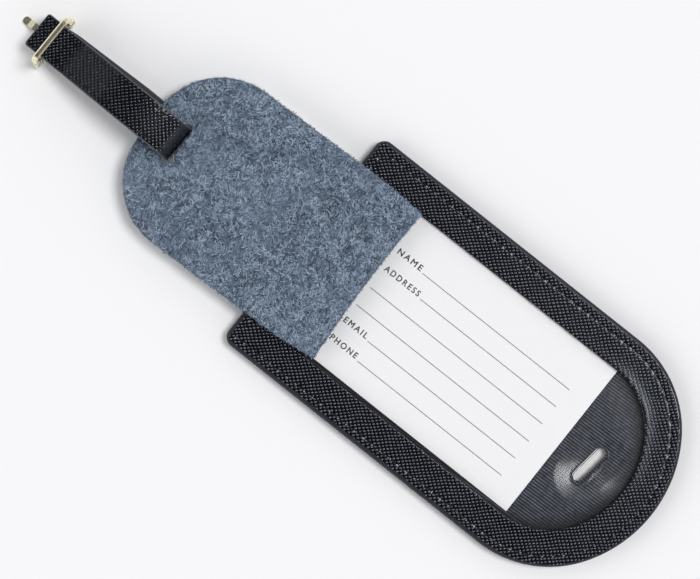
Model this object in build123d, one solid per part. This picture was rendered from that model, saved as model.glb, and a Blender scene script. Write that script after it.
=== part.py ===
from build123d import *
import math
import os

# A luggage tag, in millimetres. A leather sleeve with an arched window holds a
# card in its pocket. The card is bonded under a felt pull tab, and a buckled
# strap is threaded through the felt.
#
# The origin is the middle of the sleeve's back face, on the surface that the
# tag lies on. +X runs from the pocket's mouth to the round end, +Z is up.

# Sleeve outline, a tongue whose round end is struck from three centres
sleeve_width = 76.2
mouth_x = -65.7
round_end_x = 65.7
crown_radius = 41.6
shoulder_radius = 34.0
mouth_corner_radius = 3.3

# Sleeve layers, from the back face up
back_leather_thickness = 1.1
stiffener_thickness = 0.7
lining_thickness = 0.4
pocket_depth = 0.75
film_thickness = 0.2
backing_thickness = 0.3
front_leather_thickness = 0.9

# Sleeve openings and edges
window_inset = 11.0
backing_ledge = 0.2
hem_width = 5.0
coat_thickness = 0.3
coat_lip_width = 1.4
coat_lip_height = 0.15
coat_roundness = 1.3
edge_bevel = 1.0
sleeve_slot_length = 12.6
sleeve_slot_width = 3.3
sleeve_slot_x = 42.1
sleeve_slot_y = 0.2
sleeve_slot_tilt = 6.7
film_slot_length = 13.4
film_slot_width = 4.0
film_slot_shift = 0.6

# Felt pull tab, lying on the sleeve and turned a little on it
felt_width = 55.2
felt_thickness = 2.5
felt_clearance = 0.3
felt_crown_radius = 74.0
felt_shoulder_radius = 22.0
felt_turn = 1.56
felt_pivot_x = -67.0
felt_round_end = -55.0
felt_cut_end = 25.35
felt_cut_width = 53.0
felt_taper_start = 12.0
felt_slot_length = 13.5
felt_slot_width = 3.2
felt_slot_x = -111.7
felt_slot_y = -1.35

# Address card, flat in the pocket and stepped up to the felt outside it
card_thickness = 0.35
card_width = 52.8
card_centre_y = 0.6
card_end_x = 31.5
card_flat_length = 110.2
card_bend_radius = 20.0
card_bend_angle = 12.0
card_bond_length = 13.0

# Strap, a strip of two layers that turns through the felt's slot
strap_width = 11.6
strap_leather_thickness = 1.0
strap_lining_thickness = 0.8
strap_x = -111.7
strap_y = -1.1
strap_turn = -0.87
strap_tip_corner = 0.9
heel_distance = 47.0
tip_distance = 53.0
strand_clearance = 0.35
crest_height = 13.9
floor_clearance = 0.05
slot_bend_radius = 5.0
slot_bend_top = 6.0
crest_radius = 36.0
crest_down_angle = 20.0
rise_angle = 17.0
rise_radius = 24.0
under_bend_radius = 3.0
tail_radius = 4.0
tail_angle = 25.0
tail_flat_length = 10.6
tail_gap = 0.1
prong_hole_width = 3.2
prong_hole_start = 44.5

# Buckle, a U-shaped frame that stands on a pin through its bosses
pin_radius = 0.8
strap_on_pin_radius = 0.9
frame_width = 16.6
frame_depth = 9.4
frame_wire = 1.7
frame_bend = 2.5
frame_bevel = 0.4
boss_radius = 1.25
boss_inner_y = 6.15
boss_outer_y = 8.7
pin_end_y = 8.9
turned_edge_bevel = 0.2
prong_hole_radius = 0.85
prong_loop_radius = 1.5
prong_width = 2.3
prong_length = 12.0
prong_droop = 12.0
prong_tip_corner = 0.95

half_width = sleeve_width / 2
stiffener_bottom = back_leather_thickness
lining_bottom = stiffener_bottom + stiffener_thickness
pocket_floor = lining_bottom + lining_thickness
film_bottom = pocket_floor + pocket_depth
backing_bottom = film_bottom + film_thickness
front_bottom = backing_bottom + backing_thickness
core_top = front_bottom + front_leather_thickness
sleeve_top = core_top + coat_lip_height
felt_bottom = sleeve_top + felt_clearance
felt_top = felt_bottom + felt_thickness

# The path of the strap's glue line, the surface between its two layers
back_strand_z = floor_clearance + strap_leather_thickness
fold_radius = strap_on_pin_radius + strap_lining_thickness
heel_z = back_strand_z + fold_radius
fold_top_z = heel_z + fold_radius
front_strand_z = fold_top_z + strap_leather_thickness + strand_clearance + strap_lining_thickness
tail_z = back_strand_z + 2 * strap_lining_thickness + tail_gap


def tongue(inset, corner_radius=0.0):
    """The sleeve's outline, moved inwards everywhere by inset."""
    shoulder_y = half_width - shoulder_radius
    crown_half_angle = math.degrees(math.asin(shoulder_y / (crown_radius - shoulder_radius)))
    crown_centre_x = round_end_x - crown_radius
    shoulder_x = crown_centre_x + math.sqrt((crown_radius - shoulder_radius) ** 2 - shoulder_y**2)
    side_y = half_width - inset
    shoulder_angle = 90 - crown_half_angle
    outline = [
        Line((mouth_x + inset, -side_y), (shoulder_x, -side_y)),
        CenterArc((shoulder_x, -shoulder_y), shoulder_radius - inset, -90, shoulder_angle),
        CenterArc((crown_centre_x, 0), crown_radius - inset, -crown_half_angle, 2 * crown_half_angle),
        CenterArc((shoulder_x, shoulder_y), shoulder_radius - inset, crown_half_angle, shoulder_angle),
        Line((shoulder_x, side_y), (mouth_x + inset, side_y)),
        Line((mouth_x + inset, side_y), (mouth_x + inset, -side_y)),
    ]
    face = make_face(outline)
    if corner_radius:
        corners = face.vertices().group_by(Axis.X)[0]
        face = fillet(corners, corner_radius)
    return face


def plate(face, bottom, top):
    """A flat layer of the given outline between two heights."""
    return Pos(0, 0, bottom) * extrude(face, top - bottom)


def closed_sleeve(inset, top, bevel):
    """The sleeve as one mass, bevelled round its back face."""
    block = plate(tongue(inset, mouth_corner_radius - inset), 0, top)
    return chamfer(block.edges().group_by(Axis.Z)[0], bevel)


def sleeve_slot(length, width, shift_x=0.0):
    """The strap slot through the round end, a little out of square."""
    place = Pos(sleeve_slot_x + shift_x, sleeve_slot_y) * Rot(0, 0, 90 - sleeve_slot_tilt)
    return plate(place * SlotOverall(length, width), -1, sleeve_top + 1)


def strip_edges(start, heading, moves, offset):
    """A strip's path in its side view, moved to its left by offset.

    Each move is a straight length, or a pair of a radius and an angle. An
    angle above zero turns left.
    """
    ahead = Vector(1, 0).rotate(Axis.Z, heading)
    point = Vector(*start) + ahead.rotate(Axis.Z, 90) * offset
    edges = []
    for move in moves:
        if isinstance(move, tuple):
            radius, angle = move
            own_radius = radius - math.copysign(1, angle) * offset
            edge = JernArc(point, ahead, own_radius, angle)
            ahead = ahead.rotate(Axis.Z, angle)
        else:
            edge = Line(point, point + ahead * move)
        point = edge @ 1
        edges.append(edge)
    return edges


def strip(start, heading, moves, left, right, width):
    """A bent strip with flat ends, between two offsets from its path."""
    upper = strip_edges(start, heading, moves, left)
    lower = strip_edges(start, heading, moves, right)
    ends = [Line(upper[0] @ 0, lower[0] @ 0), Line(upper[-1] @ 1, lower[-1] @ 1)]
    side_view = make_face(upper + lower + ends)
    return extrude(Plane.XZ * side_view, width / 2, both=True)


def step_run(rise, radius, angle):
    """The straight length between two equal bends that together climb by rise."""
    bends = 2 * radius * (1 - math.cos(math.radians(angle)))
    return (rise - bends) / math.sin(math.radians(angle))


def sleeve_parts():
    # The layers' edges are bevelled together before they are coated
    core = closed_sleeve(coat_thickness, core_top, edge_bevel)
    core = chamfer(core.edges().group_by(Axis.Z)[-1], edge_bevel)
    window = plate(tongue(window_inset), front_bottom - 1, sleeve_top + 1)
    ledge_window = plate(tongue(window_inset + backing_ledge), backing_bottom - 1, front_bottom + 1)
    strap_slot = sleeve_slot(sleeve_slot_length, sleeve_slot_width)
    film_slot = sleeve_slot(film_slot_length, film_slot_width, film_slot_shift)
    whole = tongue(0)

    back_leather = core & plate(whole, 0, stiffener_bottom)
    back_stiffener = core & plate(whole, stiffener_bottom, lining_bottom)
    lining = core & plate(whole, lining_bottom, film_bottom)
    window_film = core & plate(whole, film_bottom, backing_bottom)
    front_backing = core & plate(whole, backing_bottom, front_bottom)
    front_leather = core & plate(whole, front_bottom, core_top)

    # The hem is the lining turned over along its sewn sides, open at the mouth
    pocket = plate(tongue(hem_width), pocket_floor, film_bottom)
    mouth_width = sleeve_width - 2 * hem_width
    mouth = Pos(mouth_x, 0, (pocket_floor + film_bottom) / 2) * Box(4 * hem_width, mouth_width, pocket_depth)

    # The edge coat rounds the front edge off and stands a little proud of it
    coat = closed_sleeve(0, sleeve_top, edge_bevel)
    coat = fillet(coat.edges().group_by(Axis.Z)[-1], coat_roundness) - core - mouth
    coat -= plate(tongue(coat_lip_width), core_top, sleeve_top + 1)

    return {
        "back_leather": back_leather - strap_slot,
        "back_stiffener": back_stiffener - strap_slot,
        "lining_panel": lining - pocket - mouth - strap_slot,
        "window_film": window_film - film_slot,
        "front_backing": front_backing - ledge_window,
        "front_leather": front_leather - window,
        "edge_coat": coat,
    }


def felt_tab():
    """A hand-cut felt tongue, a little narrower where it lies on the sleeve."""
    side_y = felt_width / 2
    shoulder_y = side_y - felt_shoulder_radius
    reach = felt_crown_radius - felt_shoulder_radius
    crown_half_angle = math.degrees(math.asin(shoulder_y / reach))
    crown_centre_x = felt_round_end + felt_crown_radius
    shoulder_x = crown_centre_x - math.sqrt(reach**2 - shoulder_y**2)
    shoulder_angle = 90 - crown_half_angle
    outline = [
        CenterArc((shoulder_x, shoulder_y), felt_shoulder_radius, 90, shoulder_angle),
        CenterArc((crown_centre_x, 0), felt_crown_radius, 180 - crown_half_angle, 2 * crown_half_angle),
        CenterArc((shoulder_x, -shoulder_y), felt_shoulder_radius, 180 + crown_half_angle, shoulder_angle),
        Polyline(
            (shoulder_x, -side_y),
            (felt_taper_start, -side_y),
            (felt_cut_end, -felt_cut_width / 2),
            (felt_cut_end, felt_cut_width / 2),
            (felt_taper_start, side_y),
            (shoulder_x, side_y),
        ),
    ]
    placed = Pos(felt_pivot_x, 0) * Rot(0, 0, felt_turn) * make_face(outline)
    slot_place = Pos(felt_slot_x, felt_slot_y) * Rot(0, 0, 90 + felt_turn)
    placed -= slot_place * SlotOverall(felt_slot_length, felt_slot_width)
    return plate(placed, felt_bottom, felt_top)


def id_card():
    """The card runs out of the mouth, then steps up to the felt's underside."""
    pocket_z = pocket_floor + pocket_depth / 2
    rise = felt_bottom - card_thickness / 2 - pocket_z
    moves = [
        card_flat_length,
        (card_bend_radius, -card_bend_angle),
        step_run(rise, card_bend_radius, card_bend_angle),
        (card_bend_radius, card_bend_angle),
        card_bond_length,
    ]
    half = card_thickness / 2
    card = strip((card_end_x, pocket_z), 180, moves, half, -half, card_width)
    return Pos(0, card_centre_y, 0) * card


def strap_moves():
    """Moves of the strap from its tip, over the felt and back to the buckle."""
    slot_turn = 90 - crest_down_angle
    slot_x, slot_z = -slot_bend_radius, slot_bend_top
    down = math.radians(crest_down_angle)
    crest_end_x = slot_x + slot_bend_radius * math.sin(down)
    crest_end_z = slot_z + slot_bend_radius * math.cos(down)
    rise = math.radians(rise_angle)
    crest_start_x = crest_end_x - crest_radius * (math.sin(down) + math.sin(rise))
    crest_start_z = crest_end_z + crest_radius * (math.cos(rise) - math.cos(down))
    rise_bend_height = rise_radius * (1 - math.cos(rise))
    rise_run = (crest_start_z - front_strand_z - rise_bend_height) / math.sin(rise)
    rise_start_x = crest_start_x - rise_run * math.cos(rise) - rise_radius * math.sin(rise)
    tail_drop = fold_top_z - tail_z
    return [
        tip_distance + rise_start_x,
        (rise_radius, rise_angle),
        rise_run,
        (crest_radius, -rise_angle - crest_down_angle),
        (slot_bend_radius, -slot_turn),
        slot_bend_top - back_strand_z - under_bend_radius,
        (under_bend_radius, -90),
        heel_distance - under_bend_radius,
        (fold_radius, -180),
        (tail_radius, -tail_angle),
        step_run(tail_drop, tail_radius, tail_angle),
        (tail_radius, tail_angle),
        tail_flat_length,
    ]


def strap_layer(left, right):
    """One layer of the strap, its tip's corners rounded, with the prong's hole."""
    start = (-tip_distance, front_strand_z)
    layer = strip(start, 0, strap_moves(), left, right, strap_width)
    room = 2 * strap_tip_corner
    plan = Pos((room - tip_distance) / 2, 0) * RectangleRounded(
        tip_distance + room, strap_width, strap_tip_corner
    )
    layer &= plate(plan, 0, 2 * crest_height)
    hole_length = tip_distance - prong_hole_start
    hole_height = fold_top_z + strap_leather_thickness + strand_clearance / 2
    hole = Box(hole_length, prong_hole_width, hole_height, align=(Align.MAX, Align.CENTER, Align.MIN))
    return layer - Pos(-prong_hole_start, 0, 0) * hole


def buckle_frame():
    """A bevelled U with bosses on its leg ends, bored for the pin."""
    outer_height = frame_depth + frame_wire / 2
    gap_top = frame_depth - frame_wire / 2
    outer = Pos(0, outer_height - frame_depth) * RectangleRounded(frame_width, 2 * frame_depth, frame_bend)
    gap_width = frame_width - 2 * frame_wire
    gap = Pos(0, gap_top - frame_depth) * RectangleRounded(gap_width, 2 * frame_depth, frame_bend - frame_wire)
    below = Pos(0, -frame_depth) * Rectangle(frame_width, 2 * frame_depth)
    frame = extrude(Plane.YZ * (outer - gap - below), frame_wire / 2, both=True)
    rims = frame.faces().sort_by(Axis.X)
    frame = chamfer(rims[0].edges() + rims[-1].edges(), frame_bevel)

    boss_length = boss_outer_y - boss_inner_y
    boss_middle = (boss_inner_y + boss_outer_y) / 2
    boss = Cylinder(boss_radius, boss_length)
    boss = chamfer(boss.edges().filter_by(GeomType.CIRCLE), turned_edge_bevel)
    for side in (-1, 1):
        frame += Pos(0, side * boss_middle, 0) * Rot(90, 0, 0) * boss
    return frame - Rot(90, 0, 0) * Cylinder(pin_radius, 2 * frame_width)


def heel_bar():
    """The pin, its ends peened over a little where they are riveted."""
    pin = Rot(90, 0, 0) * Cylinder(pin_radius, 2 * pin_end_y)
    return chamfer(pin.edges().filter_by(GeomType.CIRCLE), turned_edge_bevel)


def buckle_prong():
    """A prong rolled round the pin, its tip cranked down to sit on the frame."""
    top, underside = prong_loop_radius, 0.35
    tip_top, tip_underside = 0.55, -0.25
    crank_start, crank_end = 7.8, 9.9
    tongue_side = Polyline(
        (0, top),
        (-crank_start, top),
        (-crank_end, tip_top),
        (-prong_length, tip_top),
        (-prong_length, tip_underside),
        (-crank_end, tip_underside),
        (-crank_start, underside),
        (0, underside),
        (0, top),
    )
    side_view = make_face(tongue_side.edges()) + Circle(prong_loop_radius) - Circle(prong_hole_radius)
    prong = extrude(Plane.XZ * side_view, prong_width / 2, both=True)
    plan = RectangleRounded(2 * prong_length, prong_width, prong_tip_corner)
    return prong & plate(plan, -prong_length, prong_length)


def strap_parts():
    """The strap and its buckle, laid out along X and then turned to their place."""
    place = Pos(strap_x, strap_y, 0) * Rot(0, 0, strap_turn)
    heel = place * Pos(-heel_distance, 0, heel_z)
    return {
        "strap_leather": place * strap_layer(strap_leather_thickness, 0),
        "strap_lining": place * strap_layer(0, -strap_lining_thickness),
        "buckle_frame": heel * buckle_frame(),
        "heel_bar": heel * heel_bar(),
        "buckle_prong": heel * Rot(0, -prong_droop, 0) * buckle_prong(),
    }


os.makedirs("parts", exist_ok=True)
nodes = sleeve_parts()
nodes["felt_tab"] = felt_tab()
nodes["id_card"] = id_card()
nodes.update(strap_parts())
for name, shape in nodes.items():
    export_step(shape, f"parts/{name}.step")
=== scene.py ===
import math
import random
import bpy
import numpy as np
from mathutils import Matrix, Vector, noise


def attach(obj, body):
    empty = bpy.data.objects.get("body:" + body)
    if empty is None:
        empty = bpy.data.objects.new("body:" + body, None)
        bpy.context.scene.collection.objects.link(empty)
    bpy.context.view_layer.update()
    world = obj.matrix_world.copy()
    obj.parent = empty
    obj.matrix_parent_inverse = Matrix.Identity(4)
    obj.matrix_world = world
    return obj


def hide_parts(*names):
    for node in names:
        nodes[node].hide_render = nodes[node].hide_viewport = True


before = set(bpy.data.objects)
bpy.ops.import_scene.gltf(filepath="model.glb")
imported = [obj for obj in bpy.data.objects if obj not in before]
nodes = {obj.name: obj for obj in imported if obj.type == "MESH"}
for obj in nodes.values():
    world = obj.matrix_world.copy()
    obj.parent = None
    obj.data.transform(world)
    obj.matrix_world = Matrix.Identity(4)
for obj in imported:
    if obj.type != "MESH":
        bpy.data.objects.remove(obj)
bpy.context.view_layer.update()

# A luggage tag on a table: leather sleeve, address card, felt pull tab, strap
# and buckle. Sizes in the dictionaries are in millimetres and degrees.
mm = 0.001
quarter = math.pi / 2


def pickOnly(*pieces):
    bpy.ops.object.select_all(action="DESELECT")
    for piece in pieces:
        piece.select_set(True)
    bpy.context.view_layer.objects.active = pieces[-1]


def named(name):
    piece = bpy.context.object
    piece.name = piece.data.name = name
    return piece


def editMesh(piece, *steps):
    # runs edit mode steps on everything in the mesh
    pickOnly(piece)
    bpy.ops.object.mode_set(mode="EDIT")
    bpy.ops.mesh.select_all(action="SELECT")
    for step in steps:
        step()
    bpy.ops.object.mode_set(mode="OBJECT")


def mergeMesh(piece, gap=0.004):
    editMesh(
        piece,
        lambda: bpy.ops.mesh.remove_doubles(threshold=gap * mm),
        lambda: bpy.ops.mesh.normals_make_consistent(inside=False),
    )


def applyModifier(piece, kind, **settings):
    modifier = piece.modifiers.new(kind.title(), kind)
    for name, value in settings.items():
        setattr(modifier, name, value)
    pickOnly(piece)
    bpy.ops.object.modifier_apply(modifier=modifier.name)


def applyPlace(piece):
    pickOnly(piece)
    bpy.ops.object.transform_apply(location=True, rotation=True, scale=True)


def shadeSmooth(piece, degrees=40):
    pickOnly(piece)
    bpy.ops.object.shade_smooth_by_angle(angle=math.radians(degrees))


def moveVertices(piece, move):
    # move gets and gives millimetres
    for vertex in piece.data.vertices:
        vertex.co = Vector(move(*(vertex.co / mm))) * mm


def finish(piece, body, material):
    piece.data.materials.clear()
    piece.data.materials.append(material)
    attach(piece, body)
    return piece


def dress(nodeName, material):
    # a CAD node that is kept gets its material
    nodes[nodeName].data.materials.clear()
    nodes[nodeName].data.materials.append(material)


def copyAt(source, place):
    twin = source.copy()
    twin.data = source.data.copy()
    twin.data.transform(place)
    bpy.context.collection.objects.link(twin)
    return twin


def joinAll(name, pieces):
    pickOnly(*pieces)
    bpy.ops.object.join()
    return named(name)


def arcPoints(centre, radius, start, sweep, count):
    turns = [start + sweep * step / count for step in range(count)]
    return [(centre[0] + radius * math.cos(a), centre[1] + radius * math.sin(a)) for a in turns]


def linePoints(start, end, count):
    return [
        (start[0] + (end[0] - start[0]) * step / count, start[1] + (end[1] - start[1]) * step / count)
        for step in range(count)
    ]


def alongPoints(points, pitch, closed=True):
    # evenly spaced places and headings along an outline
    ends = points + points[:1] if closed else points
    lengths = [math.dist(a, b) for a, b in zip(ends, ends[1:])]
    total = sum(lengths)
    step = total / max(round(total / pitch), 1)
    places, travelled, target = [], 0.0, step / 2
    for (a, b), length in zip(zip(ends, ends[1:]), lengths):
        while length > 0 and target <= travelled + length:
            share = (target - travelled) / length
            heading = math.atan2(b[1] - a[1], b[0] - a[0])
            places.append((a[0] + (b[0] - a[0]) * share, a[1] + (b[1] - a[1]) * share, heading))
            target += step
        travelled += length
    return places


def sweepRows(name, outline, rows):
    # a closed wire is extruded row by row, each row an inset and a height
    points = outline(rows[0][0])
    bpy.ops.object.select_all(action="DESELECT")
    bpy.ops.mesh.primitive_circle_add(vertices=len(points), radius=0.1)
    piece = named(name)
    mesh = piece.data
    ring = list(range(len(points)))
    for number, (inset, height) in enumerate(rows):
        if number:
            bpy.ops.object.mode_set(mode="EDIT")
            bpy.ops.mesh.extrude_edges_move()
            bpy.ops.object.mode_set(mode="OBJECT")
            order = {vertex: place for place, vertex in enumerate(ring)}
            ring = [0] * len(ring)
            for edge in mesh.edges:
                a, b = edge.vertices
                if (a in order) != (b in order):
                    near, far = (a, b) if a in order else (b, a)
                    if mesh.vertices[far].select:
                        ring[order[near]] = far
        for vertex, (x, y) in zip(ring, outline(inset)):
            mesh.vertices[vertex].co = (x * mm, y * mm, height * mm)
    return piece


def fillEnds(piece):
    # flat faces over whatever is still open
    editMesh(
        piece,
        lambda: bpy.ops.mesh.remove_doubles(threshold=0.004 * mm),
        lambda: bpy.ops.mesh.select_all(action="DESELECT"),
        lambda: bpy.ops.mesh.select_non_manifold(extend=False, use_wire=True, use_boundary=True),
        lambda: bpy.ops.mesh.fill_holes(sides=0),
        lambda: bpy.ops.mesh.select_all(action="SELECT"),
        lambda: bpy.ops.mesh.normals_make_consistent(inside=False),
    )


def cutWith(piece, cutter, operation="DIFFERENCE"):
    applyModifier(piece, "BOOLEAN", object=cutter, operation=operation, solver="EXACT")


def remove(piece):
    bpy.data.objects.remove(piece)


def linear(hexColour):
    parts = [int(hexColour[i : i + 2], 16) / 255 for i in (1, 3, 5)]
    return tuple(p / 12.92 if p <= 0.04045 else ((p + 0.055) / 1.055) ** 2.4 for p in parts) + (1.0,)


def addNode(tree, kind, inputs=None, out=0, **settings):
    # sets or links a node's inputs and gives back one of its outputs
    node = tree.nodes.new("ShaderNode" + kind)
    for name, value in settings.items():
        setattr(node, name, value)
    for name, value in (inputs or {}).items():
        if isinstance(value, bpy.types.NodeSocket):
            tree.links.new(value, node.inputs[name])
        else:
            node.inputs[name].default_value = value
    return node.outputs[out] if node.outputs else node


def newMaterial(name, settings, nodesFor=None, coverFor=None):
    # settings are the shader's constants, nodesFor gives what is linked to it
    material = bpy.data.materials.new(name)
    material.use_nodes = True
    tree = material.node_tree
    tree.nodes.clear()
    linked = nodesFor(tree) if nodesFor else {}
    shader = addNode(tree, "BsdfPrincipled", {**settings, **linked})
    if coverFor:
        shader = coverFor(tree, shader)
    addNode(tree, "OutputMaterial", {"Surface": shader})
    return material


def eased(value):
    # from 0 to 1 with a soft start and end
    share = min(max(value, 0), 1)
    return share * share * (3 - 2 * share)


def perMm(size):
    # scale of a noise whose blotches are this many millimetres wide
    return 1 / (size * mm)


camera = {"place": (-45.2, -3.2, 704.5), "turn": 38.42, "lens": 122.4, "sensor": 36.0, "nearest": 10.0}
bpy.ops.object.camera_add(
    location=Vector(camera["place"]) * mm, rotation=(0, 0, math.radians(camera["turn"]))
)
cameraPiece = bpy.context.object
cameraPiece.data.sensor_width = camera["sensor"]
cameraPiece.data.lens = camera["lens"]
cameraPiece.data.clip_start = camera["nearest"] * mm
bpy.context.scene.camera = cameraPiece
bpy.context.scene.view_settings.view_transform = "Standard"

studio = {
    "keyFrom": 50.0,  # compass turn of the key light, from +X towards +Y
    "keyLean": 25.0,  # from straight above
    "keySpread": 24.0,
    "keyStrength": 1.72,
    "fillFrom": 225.0,
    "fillLean": 60.0,
    "fillSpread": 50.0,
    "fillStrength": 0.5,
    "wallLight": 1.18,
    "wallFoot": 0.35,  # share of it that is left at the floor
    "wallMiddle": (0.1, 0.6),  # heights on the unit sphere between which the walls reach full light
    "ceilingLight": 0.06,
    "wallTop": 0.45,  # height on the unit sphere where the walls start to fade
    "ceilingStart": 0.82,
    "wallTilt": -0.3,  # the walls are brighter on the side away from the key light
    "floorSize": 8000.0,
    "floor": "#F9F9FB",
}
for lamp in ("key", "fill"):
    bpy.ops.object.light_add(
        type="SUN", rotation=(0, math.radians(studio[lamp + "Lean"]), math.radians(studio[lamp + "From"]))
    )
    softLight = bpy.context.object
    softLight.data.angle = math.radians(studio[lamp + "Spread"])
    softLight.data.energy = studio[lamp + "Strength"]

world = bpy.data.worlds.new("studio")
bpy.context.scene.world = world
world.use_nodes = True
room = world.node_tree
room.nodes.clear()
skyPlace = addNode(room, "TexCoord", out="Generated")
skyHeight = addNode(room, "SeparateXYZ", {0: skyPlace}, out="Z")
skyFoot = addNode(room, "MapRange", {
    0: skyHeight, 1: studio["wallMiddle"][0], 2: studio["wallMiddle"][1], 3: studio["wallFoot"], 4: 1.0,
})
skyTop = addNode(room, "MapRange", {
    0: skyHeight,
    1: studio["wallTop"],
    2: studio["ceilingStart"],
    3: studio["wallLight"],
    4: studio["ceilingLight"],
})
skyLight = addNode(room, "Math", {0: skyFoot, 1: skyTop}, operation="MULTIPLY")
keySide = (math.cos(math.radians(studio["keyFrom"])), math.sin(math.radians(studio["keyFrom"])), 0)
skySide = addNode(room, "VectorMath", {0: skyPlace, 1: keySide}, out="Value", operation="DOT_PRODUCT")
skyTilt = addNode(room, "Math", {0: skySide, 1: studio["wallTilt"], 2: 1.0}, operation="MULTIPLY_ADD")
skyLevel = addNode(room, "Math", {0: skyLight, 1: skyTilt}, operation="MULTIPLY")
sky = addNode(room, "Background", {"Color": (1, 1, 1, 1), "Strength": skyLevel})
addNode(room, "OutputWorld", {"Surface": sky})

bpy.ops.mesh.primitive_plane_add(size=studio["floorSize"] * mm)
table = named("table_top")
tableLook = {"Base Color": linear(studio["floor"]), "Roughness": 0.9, "Specular IOR Level": 0.1}
table.data.materials.append(newMaterial("painted_table", tableLook))
print("camera, light and table ready")

coolGloss = {"Specular Tint": (0.85, 0.9, 1.0, 1.0)}


def crossGrain(name, grain, coordinates="Object", ior=1.5):
    # calf leather pressed with a crossed grain under a hard finish: small shiny
    # pillows in rows that cross, black in between; the tops carry a painted highlight
    def nodesFor(tree):
        place = addNode(tree, "TexCoord", out=coordinates)
        drift = addNode(
            tree, "TexNoise", {"Vector": place, "Scale": perMm(grain["driftSize"]), "Detail": 1.0}, out=1
        )
        centred = addNode(tree, "VectorMath", {0: drift, 1: (0.5, 0.5, 0.5)}, operation="SUBTRACT")
        far = (grain["drift"] * mm,) * 3
        shifted = addNode(tree, "VectorMath", {0: centred, 1: far, 2: place}, operation="MULTIPLY_ADD")
        rises = []
        for pitch, turn in grain["rows"]:
            waves = 2 * math.pi / (pitch * mm)
            across = (waves * math.cos(math.radians(turn)), waves * math.sin(math.radians(turn)), 0)
            phase = addNode(tree, "VectorMath", {0: shifted, 1: across}, out="Value", operation="DOT_PRODUCT")
            sine = addNode(tree, "Math", {0: phase}, operation="SINE")
            rises.append(addNode(tree, "Math", {0: sine, 1: 0.5, 2: 0.5}, operation="MULTIPLY_ADD"))
        pillow = addNode(tree, "Math", {0: rises[0], 1: rises[1]}, operation="MULTIPLY")
        sharp = addNode(tree, "Math", {0: pillow, 1: grain["sharpness"]}, operation="POWER")
        patches = addNode(
            tree, "TexNoise", {"Vector": place, "Scale": perMm(grain["patchSize"]), "Detail": 1.0}
        )
        uneven = addNode(tree, "MapRange", {0: patches, 1: 0.3, 2: 0.7, 3: 0.4, 4: 1.0})
        height = addNode(tree, "Math", {0: sharp, 1: uneven}, operation="MULTIPLY")
        pores = addNode(
            tree, "TexNoise", {"Vector": place, "Scale": perMm(grain["poreSize"]), "Detail": 2.0}
        )
        rough = addNode(tree, "Math", {0: pores, 1: grain["pores"], 2: height}, operation="MULTIPLY_ADD")
        # base colour runs from the black valleys to pillow tops painted lighter grey: a painted highlight
        valley, top = linear(grain["valley"]), linear(grain["top"])
        return {
            "Base Color": addNode(tree, "Mix", {0: height, 6: valley, 7: top}, out=2, data_type="RGBA"),
            "Roughness": addNode(tree, "MapRange", {
                0: height, 1: 0.0, 2: 0.8, 3: grain["valleyRoughness"], 4: grain["topRoughness"],
            }),
            "Normal": addNode(tree, "Bump", {"Height": rough, "Distance": grain["depth"] * mm}),
        }

    return newMaterial(name, {**coolGloss, "IOR": ior}, nodesFor)


leatherLook = {
    "rows": ((1.075, 53.0), (0.96, -47.5)),  # pitch and heading of each family of rows
    "driftSize": 6.0,
    "drift": 0.7,
    "sharpness": 2.2,
    "patchSize": 1.3,
    "pores": 0.12,
    "poreSize": 0.35,
    "depth": 0.15,
    "valley": "#020409",
    # pillow tops painted lighter grey: a painted highlight
    "top": "#7C7F8C",
    "valleyRoughness": 0.15,
    "topRoughness": 0.14,
}
grainLeather = crossGrain("cross_grain_calf_leather", leatherLook)
strapGrain = crossGrain(
    "cross_grain_strap_leather",
    # a weaker painted highlight on the strap's pillow tops
    {**leatherLook, "rows": ((1.1, 42.0), (0.93, -43.0)), "drift": 0.4, "top": "#2A2B32"},
    "UV",
    1.62,
)


def mottled(name, settings, size, detail, colours, relief=0.0, gloss=None, coordinates="Object"):
    # one noise, its blotches this many millimetres wide, runs through colour, relief and roughness
    def nodesFor(tree):
        place = addNode(tree, "TexCoord", out=coordinates)
        blotches = addNode(tree, "TexNoise", {"Vector": place, "Scale": perMm(size), "Detail": detail})
        dark, light = (linear(colour) for colour in colours)
        links = {"Base Color": addNode(tree, "Mix", {0: blotches, 6: dark, 7: light}, out=2, data_type="RGBA")}
        if relief:
            links["Normal"] = addNode(tree, "Bump", {"Height": blotches, "Distance": relief * mm})
        if gloss:
            low, high = gloss
            links["Roughness"] = addNode(tree, "MapRange", {0: blotches, 1: 0.3, 2: 0.7, 3: low, 4: high})
        return links

    return newMaterial(name, settings, nodesFor)


# edge paint: brushed on in coats, satin, with faint waves along the edge
edgePaint = mottled("satin_edge_paint", coolGloss, 3.0, 3.0, ("#101116", "#1E2026"), 0.05, (0.38, 0.5))
# the strap's edge paint: the same waves, painted a lighter grey as a painted highlight on its edges
strapPaint = mottled("painted_highlight_edge_paint", {"Roughness": 0.5}, 3.0, 3.0, ("#3E4049", "#3E4049"), 0.05)
# strap lining: smooth dyed leather, finely wrinkled
smoothLeather = mottled(
    "smooth_lining_leather", {"Roughness": 0.5}, 0.6, 4.0, ("#17171B", "#2A2A30"), 0.06, coordinates="UV"
)
# bonded leather board: pressed pulp, matt, with specks
buffBoard = mottled("pressed_buff_board", {"Roughness": 0.85}, 0.5, 4.0, ("#C4BCA8", "#E0DACB"), 0.05)
blackBoard = mottled("dyed_black_board", {"Roughness": 0.85}, 0.5, 4.0, ("#0E0E11", "#1B1B1F"), 0.05)
# waxed sewing thread: near black and dull, a little uneven
threadLook = {"Roughness": 0.7, "Specular IOR Level": 0.2}
waxedThread = mottled("waxed_sewing_thread", threadLook, 0.25, 1.0, ("#040405", "#0E0F12"), 0.06)
# pale brass plate: polished, with faint wipe marks
paleBrass = mottled(
    "polished_pale_brass", {"Metallic": 1.0}, 0.5, 3.0, ("#F0E8C4", "#FBF6DE"), 0.003, (0.18, 0.26)
)
print("leather, thread and brass mixed")

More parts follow.
